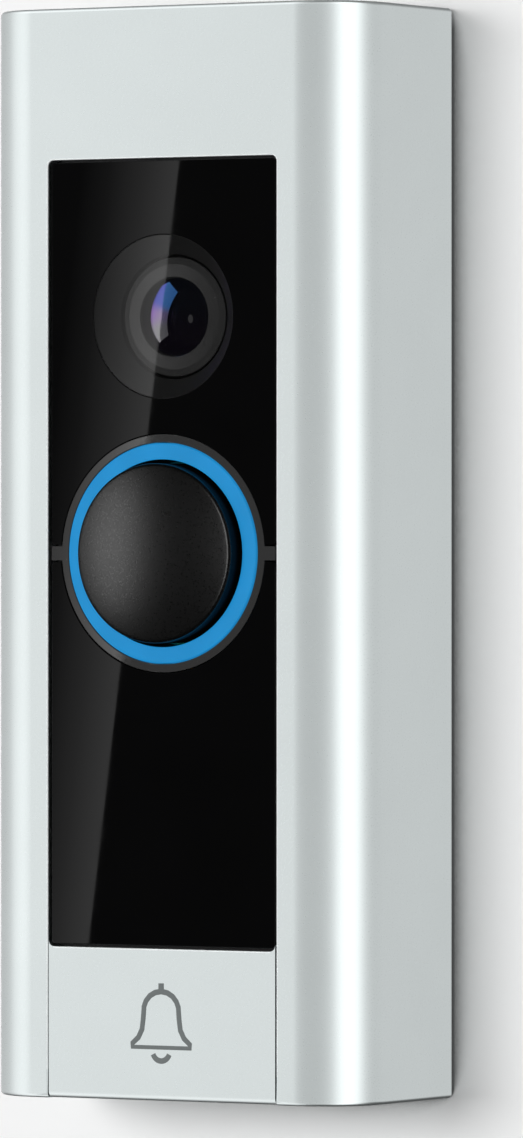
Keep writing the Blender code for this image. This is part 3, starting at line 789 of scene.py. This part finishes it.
def make_cap():
    """The domed push button: an even crown, a soft rim and a straight skirt."""
    radius = CAP.radius + 0.02
    crown = CAP.front + 0.25
    rise = 1.15
    soft = 0.45
    meet = math.radians(75.6)  # how far round the rim's arc the dome meets it
    reach = radius - soft + soft * math.cos(meet)
    dome = [(reach * i / 30, crown - rise * (i / 30) ** 2) for i in range(31)]
    low = crown - rise - soft * math.sin(meet)
    turns = [meet * (1 - i / 10) for i in range(1, 11)]
    rim = [(radius - soft + soft * math.cos(a), low + soft * math.sin(a)) for a in turns]
    inner, ceiling = 7.9, 21.2
    skirt = [(radius, CAP.back), (inner, CAP.back), (inner, ceiling), (0, ceiling)]
    shape = turned(dome + rim + skirt, steps=160)
    cap = piece("push_button", shape, CAP_BLACK, "button", ["button_cap"], 50)
    repaint(cap, lambda middle: off_axis(middle) > radius - 0.03 and middle.z < low, SKIRT_BLACK)
    return cap


def make_spring():
    """The button's return spring. Its foot stays on the core."""
    wire, radius, turns, per_turn = 0.25, 4.6, 4, 40
    low, high = SPRING.back + wire, SPRING.front - wire
    count = turns * per_turn
    points = []
    for i in range(count + 1):
        angle = math.tau * i / per_turn
        points.append((radius * math.cos(angle), radius * math.sin(angle), low + (high - low) * i / count))
    made = piece("return_spring", tube(points, wire), STEEL, "core", ["button_spring"])
    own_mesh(made)
    return made


# ---------------------------------------------------------------- camera


def round_the_lens(profile, steps=160):
    return turned(profile, COVER.x, COVER.y, steps=steps)


def off_lens(place):
    return off_axis(place, COVER.x, COVER.y)


def make_camera_cover():
    """The smoky disc. Only its front face is smoked, so that light crosses the tint once."""
    front, back = COVER.front, COVER.back
    profile = [
        (0, front),
        (COVER_DISC - 0.04, front),
        (COVER_DISC, front - 0.04),
        (COVER_DISC, front - 0.1),
        (COVER_DISC + 0.1 - (front - back), back),
        (0, back),
    ]
    cover = piece("smoked_disc", round_the_lens(profile), SMOKED, "core", ["camera_cover"])
    repaint(cover, lambda middle: middle.z < front - 0.02, CLEAR)
    return cover


def make_shroud():
    """The funnel behind the cover, which stands for the night-vision board. Its bore is pitch black: painted
    shade for the dark groove round the lens.
    """
    front = COVER.front
    rim = COVER.radius - 0.02
    profile = [
        (rim, front - 0.01),
        (COVER_DISC + 0.02, front - 0.02),
        (COVER_DISC + 0.02, front - 0.14),
        (SHROUD_BORE + 0.06, LENS_STEP + 0.03),
        (SHROUD_BORE, LENS_STEP - 0.05),
        (SHROUD_BORE, 17.6),
        (8.0, 17.6),
        (8.0, 18.6),
        (rim, COVER.back),
    ]
    shape = round_the_lens(profile)
    shroud = piece("night_light_shroud", shape, SHROUD, "core", ["infrared_board"])
    # Painted shade: the bore is pitch black so that the groove reads dark.
    repaint(shroud, lambda middle: off_lens(middle) < SHROUD_BORE + 0.01, PITCH)
    return shroud


def make_light_seal():
    """The foam seal in the groove between the lens surround and the shroud. Its pitch black is the foam's own
    black, made darker as painted shade in the groove.
    """
    inner, outer = LENS_GROOVE + 0.05, SHROUD_BORE - 0.05
    front, back = 17.3, 16.9
    profile = [(inner, front, 0.08), (outer, front, 0.08), (outer, back, 0), (inner, back, 0)]
    shape = round_the_lens(soft_profile(profile), 128)
    return piece("light_seal", shape, PITCH, "core", ["light_block"])


def make_lens_surround():
    """The flat-faced surround of the lens, bevelled into the pupil and down to the groove. Its wall down into
    the groove is pitch black as painted shade.
    """
    profile = [
        (PUPIL, LENS_STEP - 0.36, 0.03),
        (PUPIL + 0.14, LENS_STEP - 0.06, 0.03),
        (5.5, LENS_STEP - 0.06, 0),
        (LENS_GROOVE - 0.05, LENS_STEP - 0.24, 0.04),
        (LENS_GROOVE, LENS_STEP - 0.4, 0.04),
        (LENS_GROOVE, 17.1, 0),
        (5.2, 17.1, 0),
        (PUPIL, 18.05, 0),
    ]
    shape = round_the_lens(soft_profile(profile, 2))
    surround = piece("lens_surround", shape, LENS_FACE, "core", ["lens_bezel"], 3)
    # Painted shade: the wall down into the groove is pitch black.
    repaint(surround, lambda middle: off_lens(middle) > LENS_GROOVE - 0.02, PITCH)
    return surround


def make_camera_mount():
    front = [(5.4, 16.8), (6.5, 16.8), (6.5, 16.4), (7.9, 16.4)]
    foot = [(7.9, 12.2), (9.4, 12.2), (9.4, 11.2), (5.4, 11.2)]
    shape = round_the_lens(soft_profile([(radius, out, 0.15) for radius, out in front + foot], 3), 128)
    return piece("camera_mount", shape, PITCH, "core", ["camera_holder"])


def make_lens_tube():
    profile = [(4.04, 17.9), (4.1, 17.95), (5.1, 17.0), (5.1, 11.5), (3.4, 11.5), (3.4, 14.8), (4.04, 15.2)]
    return piece("lens_tube", round_the_lens(profile, 128), PITCH, "core", ["lens_barrel"])


def make_front_lens():
    """The domed front lens, just inside the lens surround."""
    glass, bend, back = PUPIL - 0.04, 10.0, 15.5
    edge = math.asin(glass / bend)
    crown = LENS_STEP - 0.5 + bend * (1 - math.cos(edge))
    turns = [edge * i / 24 for i in range(25)]
    dome = [(bend * math.sin(a), crown - bend * (1 - math.cos(a))) for a in turns]
    shape = round_the_lens(dome + [(glass, back), (0, back)], 128)
    return piece("coated_front_lens", shape, LENS_GLASS, "core", ["front_lens"])


# ---------------------------------------------------------------- stage

STAGE_REACH = 3  # metres from the middle of the wall or the floor to its edges
WALL_GAP = 0.0002  # from the object's back to the wall
FLOOR_HEIGHT = -0.6


def stage_mesh(name, shape, made_of):
    made = mesh_object(name, shape)
    made.data.materials.append(made_of)
    return made


def quad(corners):
    shape = bmesh.new()
    shape.faces.new([shape.verts.new(c) for c in corners])
    return shape


def one_sided(name, colour, glow, glow_from=0.0, contact=False):
    """A pale surface that shows only from its front, so that the object can be seen from behind it too.

    It glows a little, up to the given strength, from the given distance on.
    """
    made, tree = new_material(name)
    matt = tree.add("BsdfDiffuse", Color=(*colour, 1))
    if contact:
        tree.join(contact_shade(tree, colour), matt.inputs["Color"])
    distance = tree.add("VectorMath")
    distance.operation = "LENGTH"
    tree.join(object_place(tree), distance.inputs[0])
    light = tree.add("Emission")
    far = ranged(tree, distance.outputs["Value"], glow_from, glow_from + 0.6, To_Max=glow)
    tree.join(far, light.inputs["Strength"])
    front = tree.both(matt.outputs[0], light.outputs[0])
    side = tree.add("NewGeometry").outputs["Backfacing"]
    tree.finish(tree.mix(side, front, tree.add("BsdfTransparent").outputs[0]))
    return made


def contact_shade(tree, colour):
    """Darkens the wall in the crevice beside and below the object, but not above it or at its left."""
    near = tree.add("AmbientOcclusion", Distance=0.012)
    near.samples = 24
    stops = [(0.50, shade(colour, 0.22)), (0.56, shade(colour, 0.90)), (0.60, colour)]
    shaded = ramp(tree, near.outputs["AO"], stops)
    axes = object_axes(tree)
    above = ranged(tree, axes["Z"], 0.055, 0.058)  # metres, across the object's top edge
    leftward = ranged(tree, axes["X"], 0.010, -0.020)
    most = tree.add("Math")
    most.operation = "MAXIMUM"
    tree.join(above, most.inputs[0])
    tree.join(leftward, most.inputs[1])
    either = tree.add("Mix")
    either.data_type = "RGBA"
    first_colour, second_colour, mixed_colour = either.inputs[6], either.inputs[7], either.outputs[2]
    second_colour.default_value = (*colour, 1)
    tree.join(most.outputs["Value"], either.inputs[0])
    tree.join(shaded, first_colour)
    return mixed_colour


def make_stage():
    far = STAGE_REACH
    square = [(-far, -far), (far, -far), (far, far), (-far, far)]
    wall = one_sided("wall_white", grey(0.89), 0.45, 0.2, contact=True)
    wall = stage_mesh("stage_wall", quad([(x, WALL_GAP, z) for x, z in square]), wall)
    floor = one_sided("floor_pale", grey(0.85), 0.42)
    floor = stage_mesh("stage_floor", quad([(x, y, FLOOR_HEIGHT) for x, y in square]), floor)
    floor.visible_diffuse = False
    for pale in (wall, floor):
        pale.visible_shadow = False
        pale.visible_glossy = False
    return floor


def make_world():
    """White to the camera, dark in reflections, and a grey fill otherwise."""
    world = bpy.data.worlds.new("studio")
    bpy.context.scene.world = world
    tree = Tree(world)
    path = tree.add("LightPath")
    backgrounds = [tree.add("Background", Color=(*grey(level), 1)) for level in (0.4, 0.02, 0.90)]
    fill, dark, seen = [background.outputs[0] for background in backgrounds]
    unseen = tree.mix(path.outputs["Is Glossy Ray"], fill, dark)
    tree.finish(tree.mix(path.outputs["Is Camera Ray"], unseen, seen), "OutputWorld")


# ---------------------------------------------------------------- lights


def blend_table(table, at):
    """The table's value at a place, with smooth steps between its stops."""
    for (low, first), (high, second) in zip(table, table[1:]):
        if at <= high:
            t = max(0.0, (at - low) / (high - low))
            t = t * t * (3 - 2 * t)
            return first + (second - first) * t
    return table[-1][1]


# Brightness of the studio round the object, by azimuth (from straight out, positive to the right) and by
# elevation: a broad soft light at the left, a gap, a tall strip at the right, and dim surroundings.
STUDIO_TURN = [
    (-180, 0.45),
    (-150, 0.55),
    (-110, 0.58),
    (-85, 0.66),
    (-70, 1.02),
    (-48, 1.16),
    (-40, 1.08),
    (-33, 0.95),
    (-29, 0.84),
    (-22, 0.60),
    (-10, 0.57),
    (20, 0.57),
    (38, 0.70),
    (50, 1.20),
    (62, 1.45),
    (78, 1.45),
    (88, 1.20),
    (100, 0.72),
    (115, 0.62),
    (128, 0.66),
    (160, 0.70),
    (172, 0.40),
    (180, 0.45),
]
STUDIO_RISE = [
    (-90, 0.08),
    (-72, 0.12),
    (-58, 1.0),
    (-36, 1.05),
    (-16, 0.98),
    (16, 1.0),
    (34, 1.35),
    (52, 1.0),
    (68, 0.35),
    (90, 0.2),
]
BEHIND_RISE = [(-90, 0.08), (-28, 0.1), (-12, 1.0), (12, 1.0), (28, 0.45), (90, 0.2)]
BEHIND_FROM, BEHIND_BLEND = 95, 25  # the azimuth where BEHIND_RISE starts to take over, and how gradually
STUDIO_RADIUS = 1.4
STUDIO_STEP = 4  # degrees between the dome's points


def from_direction(turn, rise, distance=1.2):
    """The place, in metres, at an azimuth and an elevation from the origin."""
    a, e = math.radians(turn), math.radians(rise)
    level = distance * math.cos(e)
    return (level * math.sin(a), -level * math.cos(a), distance * math.sin(e))


def fill_rows(shape, rows, closed=False):
    """Faces between neighbouring rows of points."""
    count = len(rows[0])
    for first, second in zip(rows, rows[1:]):
        for i in range(count if closed else count - 1):
            j = (i + 1) % count
            shape.faces.new((first[i], first[j], second[j], second[i]))


def glow_material(name):
    """A glow that lets everything behind it through, with its tree and its colour's input."""
    made, tree = new_material(name)
    clear = tree.add("BsdfTransparent")
    glow = tree.add("Emission")
    tree.finish(tree.both(clear.outputs[0], glow.outputs[0]))
    return made, tree, glow.inputs["Color"]


def painted_glow(name, layer):
    """A glow whose colour comes from a layer of the mesh's points."""
    made, tree, colour = glow_material(name)
    painted = tree.add("Attribute")
    painted.attribute_name = layer
    tree.join(painted.outputs["Color"], colour)
    return made


def seen_in_reflections_only(light):
    light.visible_camera = False
    light.visible_diffuse = False
    light.visible_shadow = False
    light.visible_transmission = False
    light.visible_volume_scatter = False


def make_studio():
    """A dome of light seen only in the satin and metal pieces' reflections."""
    shape = bmesh.new()
    brightness = shape.verts.layers.float_color.new("brightness")
    rows = []
    for rise in range(-88, 89, STUDIO_STEP):
        row = []
        for turn in range(-180, 180, STUDIO_STEP):
            behind = min(1.0, max(0.0, (abs(turn) - BEHIND_FROM) / BEHIND_BLEND))
            ahead = blend_table(STUDIO_RISE, rise) * (1 - behind)
            light = blend_table(STUDIO_TURN, turn) * (ahead + blend_table(BEHIND_RISE, rise) * behind)
            vertex = shape.verts.new(from_direction(turn, rise, STUDIO_RADIUS))
            vertex[brightness] = (*grey(light), 1)
            row.append(vertex)
        rows.append(row)
    fill_rows(shape, rows, closed=True)
    dome = stage_mesh("stage_studio", shape, painted_glow("studio_glow", "brightness"))
    dome.data.shade_smooth()
    seen_in_reflections_only(dome)
    return dome


def make_window_card():
    """A soft light seen only in the glossy black pieces. It brightens towards its slanting right edge."""
    left, right, out, half_height = -0.75, -0.45, 0.869, 0.4
    edge, lean, fade = -0.5325, 0.1366, 0.034  # the edge's place half way up, its slant, and the soft width
    stops = [(0.0, 0.0), (0.3, 0.01), (0.5, 0.11), (0.75, 0.38), (0.9995, 0.75), (1.0, 0.0)]
    corners = [(left, -half_height), (right, -half_height), (right, half_height), (left, half_height)]
    material, tree, colour = glow_material("window_card")
    across = tree.add("VectorMath")
    across.operation = "DOT_PRODUCT"
    across.inputs[1].default_value = (1, 0, -lean)
    tree.join(object_place(tree), across.inputs[0])
    place = ranged(tree, across.outputs["Value"], edge - fade, edge)
    tree.join(ramp(tree, place, [(at, grey(level)) for at, level in stops]), colour)
    card = stage_mesh("stage_card", quad([(x, -out, z) for x, z in corners]), material)
    seen_in_reflections_only(card)
    return card


# The lens card's columns: how far each is across the card, and its colours at LENS_COLOUR_RISES.
# The divide between the bright pane and the dim one is at LENS_DIVIDE.
LENS_COLUMNS = [
    (0.0, (0.35, 0.32, 0.38), (0.55, 0.25, 0.90), (0.10, 0.12, 0.70)),
    (0.12, (0.85, 0.82, 0.90), (0.85, 0.50, 1.35), (0.25, 0.30, 1.40)),
    (0.5, (0.95, 0.95, 0.97), (1.10, 0.85, 1.35), (0.30, 0.42, 1.60)),
    (0.54, (0.30, 0.30, 0.32), (0.30, 0.24, 0.50), (0.12, 0.38, 1.00)),
    (1.0, (0.22, 0.22, 0.24), (0.22, 0.18, 0.36), (0.08, 0.30, 0.85)),
]
LENS_DIVIDE = 0.52
LENS_COLOUR_RISES = (-10, 6, 18)  # elevations
LENS_RADIANCE = 4.6


def make_lens_card():
    """A tall window of light, seen only in the lens: a bright pane and a dim one, tinted for the coating."""
    shape = bmesh.new()
    tint = shape.verts.layers.float_color.new("tint")
    bottom, height, steps = -20, 57, 30
    rows = []
    for i in range(steps + 1):
        rise = bottom + height * i / steps
        left = -64.6 + (0.006 if rise > 0 else 0.0172) * rise**2  # the sides' azimuths, which bow
        right = -38.2 + 0.13 * rise + 0.0028 * rise**2
        divide = max(0.06, 0.68 - 0.62 * ((rise - 3) / (34 if rise > 3 else 25)) ** 2)  # across the card
        slant = 4.5 - 13.5 * i / steps  # how much higher the row's right end is
        row = []
        for place, *tints in LENS_COLUMNS:
            if place < LENS_DIVIDE:
                across = place * divide / LENS_DIVIDE
            else:
                across = divide + (place - LENS_DIVIDE) * (1 - divide) / (1 - LENS_DIVIDE)
            point = from_direction(left + (right - left) * across, rise + across * slant, 1.3)
            vertex = shape.verts.new(point)
            colour = [blend_table(list(zip(LENS_COLOUR_RISES, channel)), rise) for channel in zip(*tints)]
            vertex[tint] = (*shade(colour, LENS_RADIANCE), 1)
            row.append(vertex)
        rows.append(row)
    fill_rows(shape, rows)
    card = stage_mesh("stage_lens_card", shape, painted_glow("lens_card", "tint"))
    seen_in_reflections_only(card)
    return card


def light_only(light, pieces):
    """Limits what a light shines on."""
    receivers = bpy.data.collections.new(light.name + "_receivers")
    for each in pieces:
        receivers.objects.link(each)
    light.light_linking.receiver_collection = receivers


def area_light(name, turn, rise, width, height, radiance, glossy=True, diffuse=True):
    """An oval soft light that faces the origin, as bright as radiance says."""
    light = bpy.data.lights.new(name, "AREA")
    light.shape = "ELLIPSE"
    light.size = width
    light.size_y = height
    light.energy = radiance * math.pi * width * height * math.pi / 4
    made = bpy.data.objects.new(name, light)
    made.location = from_direction(turn, rise)
    made.rotation_euler = (-Vector(made.location)).to_track_quat("-Z", "Y").to_euler()
    made.visible_glossy = glossy
    made.visible_diffuse = diffuse
    bpy.context.scene.collection.objects.link(made)
    return made


def make_lights(satin, black, cap, lens, floor):
    """The key light, and lights that only some pieces reflect. Only the floor can shade the lens's own."""
    area_light("key", turn=-18, rise=5.5, width=0.8, height=0.44, radiance=11.3, glossy=False)
    light_only(make_studio(), satin)
    light_only(make_window_card(), black)
    soft = area_light("cap_soft", turn=-46, rise=3, width=0.42, height=0.8, radiance=3.4, diffuse=False)
    strip = area_light("cap_strip", turn=20, rise=6, width=0.6, height=1.2, radiance=4.2, diffuse=False)
    light_only(soft, cap)
    light_only(strip, cap)
    blockers = bpy.data.collections.new("lens_blockers")
    blockers.objects.link(floor)
    dot = area_light("lens_dot", turn=-7, rise=0, width=0.13, height=0.2, radiance=0.5, diffuse=False)
    for light in (make_lens_card(), dot):
        light_only(light, lens)
        light.light_linking.blocker_collection = blockers


# ---------------------------------------------------------------- camera view, and the whole scene


def make_camera_view():
    """A long lens at the height of the button, 31 degrees to the object's right."""
    turn = math.radians(31.19)
    distance = 0.9974  # metres from the faceplate's front
    aside = 0.01046  # how far the view's centre line passes to the right of the middle of that front
    look = Vector((-math.sin(turn), math.cos(turn), 0))
    right = Vector((math.cos(turn), math.sin(turn), 0))
    data = bpy.data.cameras.new("main_camera")
    data.sensor_width = 36
    data.lens = 302.75
    data.shift_y = -0.0138
    data.clip_start = 0.05
    data.clip_end = 20
    made = bpy.data.objects.new("main_camera", data)
    made.location = Vector((0, -FRONT * MM, 0)) - look * distance + right * aside
    made.rotation_euler = look.to_track_quat("-Z", "Y").to_euler()
    bpy.context.scene.collection.objects.link(made)
    bpy.context.scene.camera = made


bpy.context.scene.view_settings.view_transform = "Standard"
make_camera_view()
paint_cad_nodes()
satin = [make_faceplate(), *make_badge(), make_security_screw()]
black = [*make_windows(), make_surround()]
make_light_guide()
cap = make_cap()
satin.append(make_spring())
black += [make_camera_cover(), make_shroud(), make_light_seal(), make_lens_surround()]
black += [make_camera_mount(), make_lens_tube()]
lens = make_front_lens()
satin += [node for node in frame["nodes"].values() if not node.hide_render]
floor = make_stage()
make_world()
make_lights(satin, black, [cap], [lens], floor)
